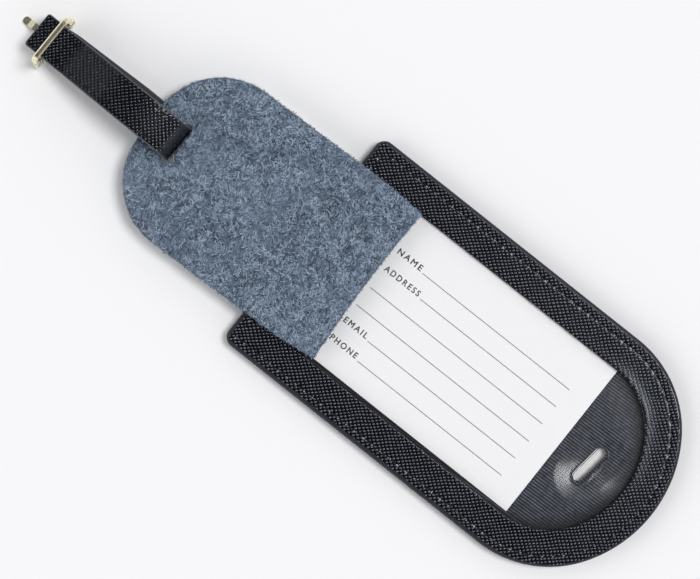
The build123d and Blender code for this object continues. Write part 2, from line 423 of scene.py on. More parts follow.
sleeve = {
    "halfWidth": 38.1,
    "mouthX": -65.7,
    "roundEndX": 65.7,
    "crownRadius": 41.6,
    "shoulderRadius": 34.0,
    "mouthCorner": 3.3,
    "stitchInset": 3.3,
    "stitchPitch": 3.2,
    "slotPlace": (42.1, 0.2),
    "slotSize": (12.6, 3.3),
    "slotTilt": 6.7,
}


# the round end is an arch of three arcs: a flat crown between two shoulders
shoulderY = sleeve["halfWidth"] - sleeve["shoulderRadius"]
crownReach = sleeve["crownRadius"] - sleeve["shoulderRadius"]
archHalf = math.asin(shoulderY / crownReach)
crownX = sleeve["roundEndX"] - sleeve["crownRadius"]
shoulderX = crownX + crownReach * math.cos(archHalf)


def tonguePoints(inset, spacing=0.4):
    # the sleeve's outline, from the mouth round the arch and back
    side = sleeve["halfWidth"] - inset
    left = sleeve["mouthX"] + inset
    corner = max(sleeve["mouthCorner"] - inset, 0.0)
    shoulder = sleeve["shoulderRadius"] - inset

    def count(length):
        return max(int(length / spacing), 4)

    sideCount = count(shoulderX - sleeve["mouthX"])
    shoulderCount = count(sleeve["shoulderRadius"] * (quarter - archHalf))
    crownCount = count(sleeve["crownRadius"] * 2 * archHalf)
    cornerCount = count(sleeve["mouthCorner"] * quarter)
    return [
        *linePoints((left + corner, -side), (shoulderX, -side), sideCount),
        *arcPoints((shoulderX, -shoulderY), shoulder, -quarter, quarter - archHalf, shoulderCount),
        *arcPoints((crownX, 0), sleeve["crownRadius"] - inset, -archHalf, 2 * archHalf, crownCount),
        *arcPoints((shoulderX, shoulderY), shoulder, archHalf, quarter - archHalf, shoulderCount),
        *linePoints((shoulderX, side), (left + corner, side), sideCount),
        *arcPoints((left + corner, side - corner), corner, quarter, quarter, cornerCount),
        *linePoints((left, side - corner), (left, corner - side), count(2 * sleeve["halfWidth"])),
        *arcPoints((left + corner, corner - side), corner, 2 * quarter, quarter, cornerCount),
    ]


def insetOf(x, y):
    # distance from the sleeve's outline, inwards
    if x < shoulderX:
        return min(sleeve["halfWidth"] - abs(y), x - sleeve["mouthX"])
    if abs(math.atan2(y, x - crownX)) < archHalf:
        return sleeve["crownRadius"] - math.hypot(x - crownX, y)
    return sleeve["shoulderRadius"] - math.hypot(x - shoulderX, abs(y) - shoulderY)


def dented(x, y, holes, radius, depth):
    # how far a point sinks near the needle holes, kept in millimetre cells
    sink = 0.0
    for cellX in (-1, 0, 1):
        for cellY in (-1, 0, 1):
            for holeX, holeY in holes.get((int(x // 2) + cellX, int(y // 2) + cellY), ()):
                away = math.hypot(x - holeX, y - holeY) / radius
                if away < 1:
                    sink = max(sink, depth * (1 - away * away) ** 2)
    return sink


def holeCells(places):
    cells = {}
    for x, y in places:
        cells.setdefault((int(x // 2), int(y // 2)), []).append((x, y))
    return cells


stitch = {
    "length": 2.5,
    "thread": 0.45,
    "dip": 0.45,
    "steps": (  # along, up, and how much thicker than the step before
        (0.3, 0.3, 1.35), (0.4, 0.12, 1.1), (0.55, 0, 1), (0.55, 0, 1), (0.4, -0.12, 0.9), (0.3, -0.3, 0.75),
    ),
    "holeRadius": 0.42,
    "holeDepth": 0.24,
}


def makeStitch():
    # one stitch, its ends drawn down into the needle holes
    half = stitch["length"] / 2
    bpy.ops.object.select_all(action="DESELECT")
    bpy.ops.mesh.primitive_circle_add(
        vertices=6,
        radius=stitch["thread"] * 0.35 * mm,
        fill_type="NGON",
        location=(-half * mm, 0, -stitch["dip"] * mm),
        rotation=(0, quarter, 0),
    )
    piece = named("stitch")
    applyPlace(piece)
    bpy.ops.object.mode_set(mode="EDIT")
    bpy.ops.mesh.select_all(action="SELECT")
    place = Vector((-half, 0, -stitch["dip"]))
    for along, up, scale in stitch["steps"]:
        place += Vector((along, 0, up))
        bpy.ops.mesh.extrude_region_move(TRANSFORM_OT_translate={"value": (along * mm, 0, up * mm)})
        bpy.ops.transform.resize(value=(1, scale, scale), center_override=place * mm)
    bpy.ops.mesh.select_all(action="SELECT")
    bpy.ops.mesh.normals_make_consistent(inside=False)
    bpy.ops.object.mode_set(mode="OBJECT")
    shadeSmooth(piece, 60)
    return piece


oneStitch = makeStitch()


def sewRow(name, places, height, upward=1):
    # copies of the stitch, each turned and pulled a little differently
    copies = []
    for x, y, heading in places:
        turn = heading + random.uniform(-0.09, 0.09)
        scale = Matrix.Diagonal((random.uniform(0.93, 1.05), random.uniform(0.85, 1.15), upward, 1))
        place = Vector((x, y, height + upward * random.uniform(-0.04, 0.05))) * mm
        copies.append(copyAt(oneStitch, Matrix.Translation(place) @ Matrix.Rotation(turn, 4, "Z") @ scale))
    row = joinAll(name, copies)
    mergeMesh(row, 0.001)
    return row


random.seed(11)
sleeveSeam = alongPoints(tonguePoints(sleeve["stitchInset"], 0.2), sleeve["stitchPitch"])
seamHoles = holeCells(
    [
        (x - math.cos(turn) * sleeve["stitchPitch"] / 2, y - math.sin(turn) * sleeve["stitchPitch"] / 2)
        for x, y, turn in sleeveSeam
    ]
)

coat = {
    "top": 4.43,
    "round": 1.15,
    "widthNearSide": 1.15,  # what shows of it along the -Y side
    "widthFarSide": 0.9,
    "widthRoundEnd": 0.5,
    "narrowing": (25.0, 30.0),  # where it starts to narrow, and over what length
    "ragged": 0.1,
    "under": 0.36,
    "mouth": (66.2, 2.2, 2.95),  # width, floor and roof of the opening
}


def coatHeight(inset):
    over = max(1 - inset / coat["round"], 0)
    return coat["top"] - coat["round"] * (1 - math.sqrt(max(1 - over * over, 0)))


def coatWidth(x, y):
    # how far in the leather starts, less where it was trimmed closer
    side = coat["widthNearSide"] if y < 0 else coat["widthFarSide"]
    share = eased((x - coat["narrowing"][0]) / coat["narrowing"][1])
    ragged = coat["ragged"] * noise.noise(Vector((x, y, 7)) / 2.5)
    return side + (coat["widthRoundEnd"] - side) * share + ragged


coatRows = (
    *[(inset, coatHeight(inset)) for inset in (1.6, 1.2, 0.9, 0.68, 0.5, 0.34, 0.2, 0.1, 0.03)],
    (0.0, 3.0), (0.0, 1.15), (0.04, 0.95), (0.18, 0.76), (0.45, 0.5), (0.7, 0.24), (0.98, 0.03), (1.12, 0.03),
    (0.75, 0.4), (0.42, 0.85), (coat["under"], 1.2), (coat["under"], 3.4), (0.9, 3.9), (1.6, coatHeight(1.6)),
)
edgeCoat = sweepRows("edge_paint_coat", tonguePoints, coatRows)
mergeMesh(edgeCoat)
bpy.ops.object.select_all(action="DESELECT")
mouthWidth, mouthFloor, mouthRoof = coat["mouth"]
bpy.ops.mesh.primitive_cube_add(
    size=1, location=(sleeve["mouthX"] * mm, 0, (mouthFloor + mouthRoof) / 2 * mm)
)
mouthCutter = named("mouth_cutter")
mouthCutter.scale = (10 * mm, mouthWidth * mm, (mouthRoof - mouthFloor) * mm)
applyPlace(mouthCutter)
cutWith(edgeCoat, mouthCutter)
remove(mouthCutter)
shadeSmooth(edgeCoat, 50)
finish(edgeCoat, "sleeve", edgePaint)
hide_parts("edge_coat")

front = {
    "overPaint": 2.4,  # how far in it lies over the edge paint
    "paring": 0.22,  # width of its thinned rim
    "pared": 0.16,  # how far the rim drops under the paint
    "raised": 0.1,
    "rollTop": 4.15,  # what is higher belongs to the grained face
    "unevenness": 0.035,
    "windowInset": 11.0,
    "cutWave": (0.16, 0.05),  # slow and quick wander of the window's cut
    "roundEnd": (20.0, 15.0, 0.15),  # where the window's rim starts to swell, over what length, how far
}
frontRows = (
    (0.5, 3.46), (0.45, 3.9), (0.45, 4.2), (0.57, 4.4), (0.69, 4.4), (0.81, 4.4), (0.93, 4.4), (1.05, 4.4),
    (1.17, 4.4), (1.3, 4.4), (1.5, 4.4), (1.8, 4.4), (2.2, 4.4), (2.6, 4.4), (2.9, 4.39), (3.1, 4.375),
    (3.3, 4.37), (3.5, 4.375), (3.7, 4.39), (4.1, 4.4), (4.6, 4.4), (5.6, 4.4), (7.0, 4.4), (8.6, 4.4),
    (9.8, 4.4), (10.5, 4.4), (10.8, 4.39), (10.93, 4.35), (10.99, 4.25), (11.0, 3.9), (11.0, 3.62),
    (10.85, 3.46), (6.0, 3.455), (0.5, 3.46),
)
frontPanel = sweepRows("front_panel", tonguePoints, frontRows)
mergeMesh(frontPanel)


def shapeFront(x, y, z):
    inset = insetOf(x, y)
    if z > front["rollTop"] and inset < front["overPaint"]:
        # lies over the edge paint, thinned away where the paint shows
        pared = min(max((coatWidth(x, y) + front["paring"] - inset) / front["paring"], 0), 1)
        z = min(z + front["raised"], coatHeight(inset) + 0.08) - front["pared"] * pared
    elif z > 4.0:
        z += front["raised"]
    if z > front["rollTop"]:
        z -= dented(x, y, seamHoles, stitch["holeRadius"], stitch["holeDepth"])
        z += front["unevenness"] * noise.noise(Vector((x, y, 0)) / 9)
    edge = max(0.0, 1 - abs(inset - front["windowInset"]) / 0.6)
    slow, quick = front["cutWave"]
    wave = slow * noise.noise(Vector((x, y, 5)) / 3.5) + quick * noise.noise(Vector((x, y, 9)) / 0.8)
    start, length, swell = front["roundEnd"]
    if z > 3.8 and x > start:
        z += swell * min((x - start) / length, 1) * max(0.0, 1 - abs(inset - 10.8) / 2.5)
    return x + wave * edge, y + wave * edge, z


moveVertices(frontPanel, shapeFront)
shadeSmooth(frontPanel, 50)
finish(frontPanel, "sleeve", grainLeather)
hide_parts("front_leather")

frontStitches = sewRow("front_stitches", sleeveSeam, 4.4)
finish(frontStitches, "sleeve", waxedThread)


def slotCutter(length, width, shift=0.0):
    # a round peg, its far half moved away to make it long
    bpy.ops.object.select_all(action="DESELECT")
    bpy.ops.mesh.primitive_cylinder_add(vertices=40, radius=width / 2 * mm, depth=20 * mm)
    cutter = named("slot_cutter")
    for vertex in cutter.data.vertices:
        vertex.co.y += math.copysign((length - width) / 2 * mm, vertex.co.y)
    x, y = sleeve["slotPlace"]
    turn = Matrix.Rotation(-math.radians(sleeve["slotTilt"]), 4, "Z")
    cutter.data.transform(Matrix.Translation(Vector((x + shift, y, 0)) * mm) @ turn)
    return cutter


leatherCutter = slotCutter(*sleeve["slotSize"])

backRows = (
    (0.4, 1.08), (0.75, 0.64), (1.2, 0.18), (1.55, 0.03), (2.1, 0.0), (2.6, 0.005), (2.85, 0.04), (3.1, 0.1),
    (3.3, 0.12), (3.5, 0.1), (3.75, 0.04), (4.0, 0.005), (4.6, 0.0), (6.0, 0.0),
)
backPanel = sweepRows("back_panel", tonguePoints, backRows)
fillEnds(backPanel)


def shapeBack(x, y, z):
    if z < 0.5 and insetOf(x, y) < 5:
        z += dented(x, y, seamHoles, stitch["holeRadius"], stitch["holeDepth"])
    return x, y, z


moveVertices(backPanel, shapeBack)
cutWith(backPanel, leatherCutter)
shadeSmooth(backPanel, 50)
finish(backPanel, "sleeve", grainLeather)
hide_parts("back_leather")
backStitches = sewRow("back_stitches", sleeveSeam, 0.28, -1)
finish(backStitches, "sleeve", waxedThread)

dress("back_stiffener", buffBoard)
dress("front_backing", blackBoard)
print("sleeve panels sewn")

lining = {
    "ribPitch": 0.88,
    "ribTurn": 2.0,
    "ribHeight": 0.16,
    "floor": 2.2,
    "middleX": -3.0,
    "length": 124.0,  # of the piece it is cut from
    "width": 70.0,
    "inset": 5.3,
    "thickness": 0.15,
    # painted shade near the arch:
    "archShade": (25.5, 30.5, 0.22),  # from the arch's centre: where it starts, ends, and what light is left
}


def liningNodes(tree):
    # ribbed lining cloth: thick cords, rubbed grey on top with a painted highlight, and near black
    # in between as painted shade; painted shade also darkens it where the arch shades it
    place = addNode(tree, "TexCoord", out="Object")
    waves = 2 * math.pi / (lining["ribPitch"] * mm)
    turn = math.radians(lining["ribTurn"] + 90)
    across = (waves * math.cos(turn), waves * math.sin(turn), 0)
    phase = addNode(tree, "VectorMath", {0: place, 1: across}, out="Value", operation="DOT_PRODUCT")
    crest = addNode(tree, "Math", {0: phase}, operation="COSINE")
    cord = addNode(
        tree, "MapRange", {0: crest, 1: -0.8, 2: 0.8, 3: 0.0, 4: 1.0}, interpolation_type="SMOOTHSTEP"
    )
    rubs = addNode(tree, "TexNoise", {"Vector": place, "Scale": perMm(1.6), "Detail": 3.0})
    worn = addNode(tree, "MapRange", {0: rubs, 1: 0.3, 2: 0.7, 3: 0.35, 4: 1.0})
    slubs = addNode(tree, "TexNoise", {"Vector": place, "Scale": perMm(0.5), "Detail": 2.0})
    # cord crests lighter and hollows near black: partly rubbed wear, partly painted highlight and shade
    crestShadeAndWear = addNode(tree, "Math", {0: cord, 1: worn}, operation="MULTIPLY")
    crown = (crownX * mm, 0, lining["floor"] * mm)
    fromCrown = addNode(tree, "VectorMath", {0: place, 1: crown}, out="Value", operation="DISTANCE")
    start, end, left = lining["archShade"]
    # painted shade: darker near the arch, standing in for its shadow
    paintedArchShade = addNode(tree, "MapRange", {
        0: fromCrown, 1: start * mm, 2: end * mm, 3: 1.0, 4: left,
    }, interpolation_type="SMOOTHSTEP")
    share = addNode(tree, "Math", {0: crestShadeAndWear, 1: paintedArchShade}, operation="MULTIPLY")
    return {
        "Base Color": addNode(
            tree, "Mix", {0: share, 6: linear("#030405"), 7: linear("#5B6171")}, out=2, data_type="RGBA"
        ),
        "Normal": addNode(tree, "Bump", {"Height": slubs, "Distance": 0.06 * mm}),
    }


ribbedCloth = newMaterial("ribbed_lining_cloth", {"Roughness": 0.8, "Sheen Weight": 0.1}, liningNodes)
bpy.ops.object.select_all(action="DESELECT")
bpy.ops.mesh.primitive_grid_add(
    x_subdivisions=40,
    y_subdivisions=int(lining["width"] / lining["ribPitch"] * 6),
    size=1,
    location=(lining["middleX"] * mm, 0, lining["floor"] * mm),
    rotation=(0, 0, math.radians(lining["ribTurn"])),
)
ribbedFacing = named("ribbed_facing")
ribbedFacing.scale = (lining["length"] * mm, lining["width"] * mm, 1)
applyPlace(ribbedFacing)


def shapeRibs(x, y, z):
    turn = math.radians(lining["ribTurn"] + 90)
    across = x * math.cos(turn) + y * math.sin(turn)
    rise = 0.5 + 0.5 * math.cos(2 * math.pi * across / lining["ribPitch"])
    slack = 0.03 * noise.noise(Vector((x, y, 2)) / 8)
    return x, y, z + lining["ribHeight"] * rise ** 0.8 + slack


moveVertices(ribbedFacing, shapeRibs)
applyModifier(ribbedFacing, "SOLIDIFY", thickness=lining["thickness"] * mm, offset=-1)
plugRows = ((lining["inset"], 1.5), (lining["inset"], 4.7))
plug = sweepRows("plug", lambda inset: tonguePoints(inset, 1.0), plugRows)
fillEnds(plug)
cutWith(ribbedFacing, plug, "INTERSECT")
cutWith(ribbedFacing, leatherCutter)
shadeSmooth(ribbedFacing, 50)
finish(ribbedFacing, "sleeve", ribbedCloth)
dress("lining_panel", ribbedCloth)

film = {
    "bottom": 3.03,
    "thickness": 0.12,
    "gridCuts": (230, 140),
    "held": 10.8,  # inset of the window's rim, which holds it down
    "easing": 2.5,
    "rise": (0.2, 11.0),  # how far it stands off the card, and the width it rises over
    "dip": 0.44,  # how far it is drawn down at the slot
    "dipReach": 5.65,
    "puff": 0.66,  # how far it bulges beside the slot
    "puffPlace": (39.7, -13.4),
    "puffTurn": -43.6,
    "puffReach": (8.65, 15.7),
    "puffSides": 4.25,  # how steep its sides are
    "cutSize": (13.4, 4.0),
    "cutShift": 0.6,
    "cutLip": 0.12,
}


def filmNodes(tree):
    # clear soft vinyl film: glossy, with slight slow waves
    place = addNode(tree, "TexCoord", out="Object")
    waves = addNode(tree, "TexNoise", {"Vector": place, "Scale": perMm(9.0), "Detail": 0.0})
    return {"Normal": addNode(tree, "Bump", {"Height": waves, "Distance": 0.02 * mm})}


def seeThrough(tree, shader):
    # too thin to bend the view: a mirror as faint as the vinyl's gloss, on the outer faces only,
    # and light on its way to the card and the lining goes straight through
    gloss = addNode(tree, "Fresnel", {"IOR": 1.45})
    passing = addNode(tree, "NewGeometry", out="Backfacing")
    for ray in ("Is Shadow Ray", "Is Diffuse Ray"):
        light = addNode(tree, "LightPath", out=ray)
        passing = addNode(tree, "Math", {0: passing, 1: light}, operation="MAXIMUM")
    facing = addNode(tree, "Math", {0: 1.0, 1: passing}, operation="SUBTRACT")
    share = addNode(tree, "Math", {0: gloss, 1: facing}, operation="MULTIPLY")
    clear = addNode(tree, "BsdfTransparent", {"Color": (1, 1, 1, 1)})
    return addNode(tree, "MixShader", {0: share, 1: clear, 2: shader})


filmGloss = {"Base Color": (1, 1, 1, 1), "Metallic": 1.0, "Roughness": 0.16}
clearVinyl = newMaterial("clear_vinyl_film", filmGloss, filmNodes, seeThrough)
bpy.ops.object.select_all(action="DESELECT")
bpy.ops.mesh.primitive_grid_add(
    x_subdivisions=film["gridCuts"][0],
    y_subdivisions=film["gridCuts"][1],
    size=1,
    location=(lining["middleX"] * mm, 0, (film["bottom"] + film["thickness"]) * mm),
)
clearWindow = named("clear_window")
clearWindow.scale = (lining["length"] * mm, lining["width"] * mm, 1)
applyPlace(clearWindow)


def fromSlot(x, y):
    # distance from the middle line of the strap slot
    turn = -math.radians(sleeve["slotTilt"])
    overX, overY = x - sleeve["slotPlace"][0], y - sleeve["slotPlace"][1]
    along = -overX * math.sin(turn) + overY * math.cos(turn)
    across = overX * math.cos(turn) + overY * math.sin(turn)
    return math.hypot(across, max(abs(along) - 4.65, 0))


def shapeFilm(x, y, z):
    away = max(fromSlot(x, y) - 1.9, 0)
    dip = film["dip"] * max(1 - away / film["dipReach"], 0)
    turn = math.radians(film["puffTurn"])
    overX, overY = x - film["puffPlace"][0], y - film["puffPlace"][1]
    across = (overX * math.cos(turn) + overY * math.sin(turn)) / film["puffReach"][0]
    along = (-overX * math.sin(turn) + overY * math.cos(turn)) / film["puffReach"][1]
    free = insetOf(x, y) - film["held"]
    bulge = math.exp(-math.hypot(across, along) ** film["puffSides"])
    puff = film["puff"] * bulge * eased(free / film["easing"])
    puff += film["rise"][0] * eased(free / film["rise"][1])
    lip = film["cutLip"] * max(1 - abs(fromSlot(x - film["cutShift"], y) - 2.1) / 0.5, 0)
    return x, y, z + puff - dip + lip + 0.015 * noise.noise(Vector((x, y, 4)) / 12)


moveVertices(clearWindow, shapeFilm)
applyModifier(clearWindow, "SOLIDIFY", thickness=film["thickness"] * mm, offset=-1)
cutWith(clearWindow, plug, "INTERSECT")
filmCutter = slotCutter(*film["cutSize"], film["cutShift"])
cutWith(clearWindow, filmCutter)
shadeSmooth(clearWindow, 50)
finish(clearWindow, "sleeve", clearVinyl)
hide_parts("window_film")
for cutter in (plug, leatherCutter, filmCutter):
    remove(cutter)


def slotPoints(inset):
    # the outline of the cut in the film
    width, length = 2.0 - inset, 4.7
    ends = (
        *arcPoints((0, length), width, 0, 2 * quarter, 14),
        *arcPoints((0, -length), width, 2 * quarter, 2 * quarter, 14),
    )
    turn = -math.radians(sleeve["slotTilt"])
    x, y = sleeve["slotPlace"]
    return [
        (
            x + film["cutShift"] + a * math.cos(turn) - b * math.sin(turn),
            y + a * math.sin(turn) + b * math.cos(turn),
        )
        for a, b in ends
    ]


def cutFilmNodes(tree):
    # a thin ring along the cut in the film: clouded grey in places, near black in others
    place = addNode(tree, "TexCoord", out="Object")
    clouds = addNode(tree, "TexNoise", {"Vector": place, "Scale": perMm(1.2)})
    return {"Base Color": addNode(tree, "MapRange", {0: clouds, 1: 0.4, 2: 0.6, 3: 0.01, 4: 0.1})}


cutRows = (
    (-0.1, 2.9), (-0.06, 3.02), (0.04, 3.04), (0.1, 2.92), (0.06, 2.81), (-0.06, 2.8), (-0.1, 2.9),
)
cutEdge = sweepRows("film_cut_edge", slotPoints, cutRows)
mergeMesh(cutEdge)
shadeSmooth(cutEdge, 60)
finish(cutEdge, "sleeve", newMaterial("cut_film_edge", {"Roughness": 0.3}, cutFilmNodes))
print("window and lining fitted")

card = {
    "top": 2.75,
    "lineThickness": 0.2,
    "lineEnd": 23.9,
    "lines": ((13.8, -31.4), (7.45, -27.3), (1.0, -40.9), (-5.5, -41.0), (-11.9, -31.7), (-18.4, -30.4)),
    "labelStart": -41.1,
    "letterHeight": 1.85,
    "letterSpacing": 1.35,
    "letterWeight": 0.055,  # how far each outline is let out
    "labels": (("NAME", 13.85, 8.8), ("ADDRESS", 7.5, 12.9), ("EMAIL", -11.8, 8.6), ("PHONE", -18.3, 9.8)),
    "ink": 0.012,
}


# coated card stock: smooth, white, with faint paper fibres
cardLook = {"Roughness": 0.6, "Specular IOR Level": 0.3}
cardStock = mottled("coated_card_stock", cardLook, 0.4, 4.0, ("#F3F3F5", "#F8F8FA"), 0.002)
# offset printing ink: dark grey, thin, slightly uneven
printInk = mottled("offset_print_ink", {"Roughness": 0.6}, 0.4, 2.0, ("#1C1C20", "#34343A"))
dress("id_card", cardStock)

rules = []
inkMiddle = card["top"] + card["ink"] / 2
for lineY, start in card["lines"]:
    bpy.ops.object.select_all(action="DESELECT")
    bpy.ops.mesh.primitive_cube_add(
        size=1, location=Vector(((start + card["lineEnd"]) / 2, lineY, inkMiddle)) * mm
    )
    rule = bpy.context.object
    rule.scale = Vector((card["lineEnd"] - start, card["lineThickness"], card["ink"])) * mm
    applyPlace(rule)
    editMesh(rule, lambda: bpy.ops.mesh.bevel(offset=0.004 * mm, segments=1))
    rules.append(rule)
cardRules = joinAll("card_rules", rules)
finish(cardRules, "insert", printInk)

for word, baseline, width in card["labels"]:
    bpy.ops.object.select_all(action="DESELECT")
    bpy.ops.object.text_add(location=(0, 0, 0))
    label = bpy.context.object
    label.data.body = word
    label.data.size = card["letterHeight"] / 0.7 * mm
    label.data.space_character = card["letterSpacing"]
    label.data.extrude = card["ink"] / 2 * mm
    label.data.resolution_u = 4
    label.data.bevel_depth = card["letterWeight"] * mm
    label.data.bevel_resolution = 0
    pickOnly(label)
    bpy.ops.object.convert(target="MESH")
    label = named("label_" + word.lower())
    corners = [vertex.co for vertex in label.data.vertices]
    low, high = min(c.x for c in corners), max(c.x for c in corners)
    height = max(c.y for c in corners)
    label.data.transform(
        Matrix.Translation(Vector((card["labelStart"], baseline, inkMiddle)) * mm)
        @ Matrix.Diagonal((width * mm / (high - low), card["letterHeight"] * mm / height, 0.2, 1))
        @ Matrix.Translation((-low, 0, 0))
    )
    mergeMesh(label, 0.0005)
    finish(label, "insert", printInk)
print("card printed")

felt = {
    "voxel": 0.5,
    "top": 7.3,
    "bottom": 4.8,
    "lumps": 0.16,
    "fray": 0.12,
    "slack": 0.1,
    "endHollow": 0.9,  # how far the cut end is drawn in at its middle
    "endHalf": 27.0,
    "middleX": -67.0,
    "turn": 1.56,
    "halfWidth": 27.6,
    "crownX": 19.0,
    "crownRadius": 74.0,
    "shoulderY": 5.6,
    "shoulderRadius": 22.0,
    "taperX": 12.0,  # from here to the cut end it gets narrower
    "endX": 25.35,
    "taper": 1.1,
    "slotBox": (-113.6, -109.8, -8.4, 5.7),  # no fibres are laid over the strap slot
    "fibres": 5500,
    "fibreWidth": 0.29,
    "fibreLength": (0.7, 1.8),
    "nap": 1.75,  # heading most fibres lie along, in radians
    "edgeFibres": 1300,
    "shades": (  # name, colour, share of the fibres, and the clumps they gather in
        ("pale", "#A9BACB", 0.7, 0.25),
        ("light", "#8B9DB2", 1.2, 0.1),
        ("mid", "#586A80", 1.2, -0.08),
        ("dark", "#2D3742", 1.0, -0.22),
    ),
}


def feltNodes(tree):
    # pressed wool felt: short fibres lying every way, heathered blue and grey
    place = addNode(tree, "TexCoord", out="Object")
    streaks = []
    for size, offset in ((1.9, 0.0), (2.6, 0.37)):
        moved = addNode(tree, "VectorMath", {0: place, 1: (offset, offset, 0)}, operation="ADD")
        curl = addNode(tree, "TexNoise", {"Vector": moved, "Scale": perMm(1.6)}, out=1)
        bent = addNode(tree, "VectorMath", {0: curl, 1: (1.6 * mm,) * 3, 2: moved}, operation="MULTIPLY_ADD")
        cell = addNode(tree, "TexVoronoi", {"Vector": bent, "Scale": perMm(size)}, out="Color")
        share = addNode(tree, "SeparateColor", {0: cell})
        angle = addNode(tree, "Math", {0: share, 1: 2 * math.pi}, operation="MULTIPLY")
        turned = addNode(tree, "VectorRotate", {"Vector": bent, "Angle": angle}, rotation_type="Z_AXIS")
        drawn = addNode(
            tree, "VectorMath", {0: turned, 1: (perMm(1.4), perMm(0.2), perMm(0.6))}, operation="MULTIPLY"
        )
        streaks.append(addNode(tree, "TexNoise", {"Vector": drawn, "Scale": 1.0, "Detail": 1.0}))
    both = addNode(tree, "Math", {0: streaks[0], 1: streaks[1]}, operation="MAXIMUM")
    blotches = addNode(tree, "TexNoise", {"Vector": place, "Scale": perMm(3.5)})
    base = addNode(tree, "Math", {0: both, 1: 0.8}, operation="MULTIPLY")
    light = addNode(tree, "Math", {0: blotches, 1: 0.3, 2: base}, operation="MULTIPLY_ADD")
    share = addNode(tree, "MapRange", {0: light, 1: 0.44, 2: 0.76, 3: 0.0, 4: 1.0})
    return {
        "Base Color": addNode(
            tree, "Mix", {0: share, 6: linear("#222C39"), 7: linear("#8092A8")}, out=2, data_type="RGBA"
        ),
        "Normal": addNode(tree, "Bump", {"Height": both, "Distance": 0.12 * mm}),
    }


woolFelt = newMaterial("pressed_wool_felt", {"Roughness": 0.95, "Sheen Weight": 0.1}, feltNodes)


def fibreWool(name, colour):
    # single wool fibres raised from the felt: matt, darker in places along their length
    def nodesFor(tree):
        place = addNode(tree, "TexCoord", out="Object")
        tint = addNode(tree, "TexNoise", {"Vector": place, "Scale": perMm(2.0), "Detail": 1.0})
        dark = tuple(part * 0.75 for part in linear(colour)[:3]) + (1.0,)
        return {
            "Base Color": addNode(tree, "Mix", {0: tint, 6: dark, 7: linear(colour)}, out=2, data_type="RGBA")
        }

    return newMaterial(name, {"Roughness": 0.8, "Sheen Weight": 0.1}, nodesFor)


feltTab = copyAt(nodes["felt_tab"], Matrix.Identity(4))
feltTab.parent = None
for key in list(feltTab.keys()):
    del feltTab[key]
feltTab.name = feltTab.data.name = "felt_pad"
mergeMesh(feltTab, 0.01)
applyModifier(feltTab, "REMESH", mode="VOXEL", voxel_size=felt["voxel"] * mm)
applyModifier(feltTab, "SMOOTH", factor=0.5, iterations=3)


def endDrawn(y):
    return felt["endHollow"] * max(1 - (y / felt["endHalf"]) ** 2, 0)


def shapeFelt(x, y, z):
    lump = felt["lumps"] * noise.noise(Vector((x, y, z)) / 1.4)
    fray = felt["fray"] * noise.noise(Vector((x, y, z + 30)) / 0.7)
    slack = felt["slack"] * noise.noise(Vector((x, y, 60)) / 14)
    if x > -46:
        x -= endDrawn(y) * min((x + 46) / 3, 1)
    height = z + lump * 0.5 + slack * (z - felt["bottom"]) / 2.5
    return x + fray, y + fray, max(height, felt["bottom"] - 0.05)


moveVertices(feltTab, shapeFelt)
shadeSmooth(feltTab, 80)
finish(feltTab, "insert", woolFelt)
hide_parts("felt_tab")


def feltPoints(inset, spacing=0.5):
    # the felt's outline, as a list of places
    side, end = felt["halfWidth"] - inset, felt["endX"] - inset
    shoulder, crown = felt["shoulderRadius"] - inset, felt["crownRadius"] - inset
    taperX, taper, hingeY = felt["taperX"], felt["taper"], felt["shoulderY"]
    reach = felt["crownRadius"] - felt["shoulderRadius"]
    half = math.asin(hingeY / reach)
    hingeX = felt["crownX"] - reach * math.cos(half)

    def count(length):
        return max(int(length / spacing), 2)

    points = [
        *linePoints((taperX, side), (hingeX, side), count(44.7)),
        *arcPoints((hingeX, hingeY), shoulder, quarter, quarter - half, count(32.2)),
        *arcPoints((felt["crownX"], 0), crown, 2 * quarter - half, 2 * half, count(16)),
        *arcPoints((hingeX, -hingeY), shoulder, 2 * quarter + half, quarter - half, count(32.2)),
        *linePoints((hingeX, -side), (taperX, -side), count(44.7)),
        *linePoints((taperX, -side), (end, taper - side), count(13.4)),
        *[(end - endDrawn(y), y) for _, y in linePoints((end, taper - side), (end, side - taper), count(53))],
        *linePoints((end, side - taper), (taperX, side), count(13.4)),
    ]
    turn = math.radians(felt["turn"])
    return [
        (felt["middleX"] + x * math.cos(turn) - y * math.sin(turn), x * math.sin(turn) + y * math.cos(turn))
        for x, y in points
    ]


def inside(point, polygon):
    x, y = point
    hit = False
    for (ax, ay), (bx, by) in zip(polygon, polygon[1:] + polygon[:1]):
        if (ay > y) != (by > y) and x < (bx - ax) * (y - ay) / (by - ay) + ax:
            hit = not hit
    return hit


